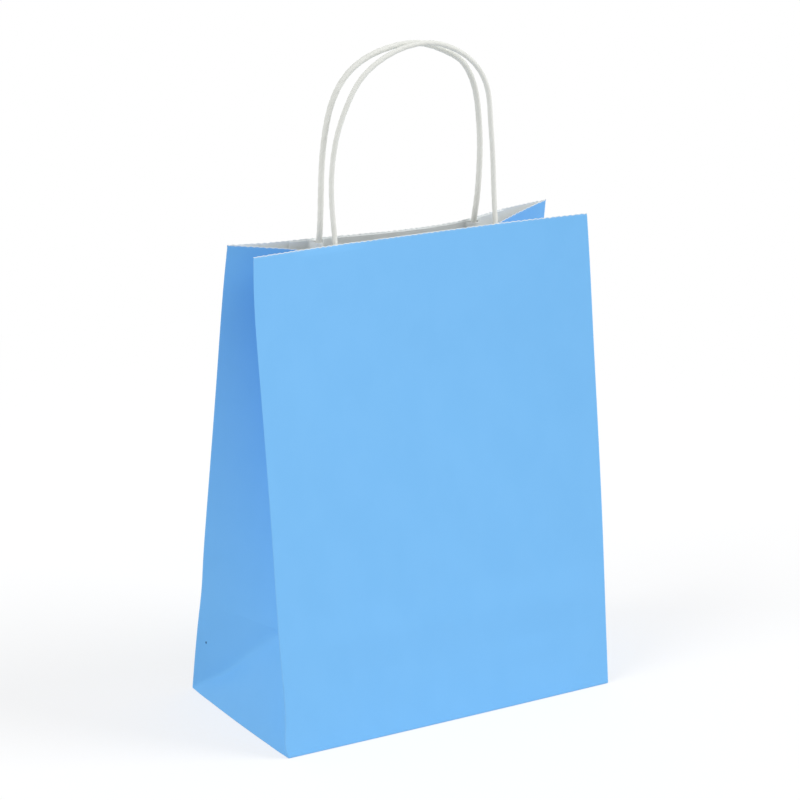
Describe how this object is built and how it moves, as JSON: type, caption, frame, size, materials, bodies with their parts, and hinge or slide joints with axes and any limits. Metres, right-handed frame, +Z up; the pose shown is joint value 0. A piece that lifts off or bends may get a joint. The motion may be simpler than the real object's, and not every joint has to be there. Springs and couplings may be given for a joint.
{
  "type": "kraft paper gift bag",
  "caption": "Block-bottomed paper carrier bag folded from a blue sheet, with tucked side gussets, an open saw-cut mouth and twisted paper cord handles.",
  "frame": {"origin": "middle of the bottom, on the surface the bag stands on", "axes": "+Z up to the handles, -Y towards the front panel, +X along the panels to the right as seen from the front"},
  "size_m": [0.21, 0.11, 0.3694],
  "materials": {
    "blue_paper": "matt blue kraft paper, white on its inner face",
    "white_paper": "matt white kraft paper",
    "cord_paper": "twisted off-white paper cord"
  },
  "bodies": {
    "root": {"bag_body": "blue_paper", "front_handle": "cord_paper", "rear_handle": "cord_paper", "front_backing_strip": "white_paper", "front_cover_strip": "white_paper", "rear_backing_strip": "white_paper", "rear_cover_strip": "white_paper"}
  },
  "joints": []
}
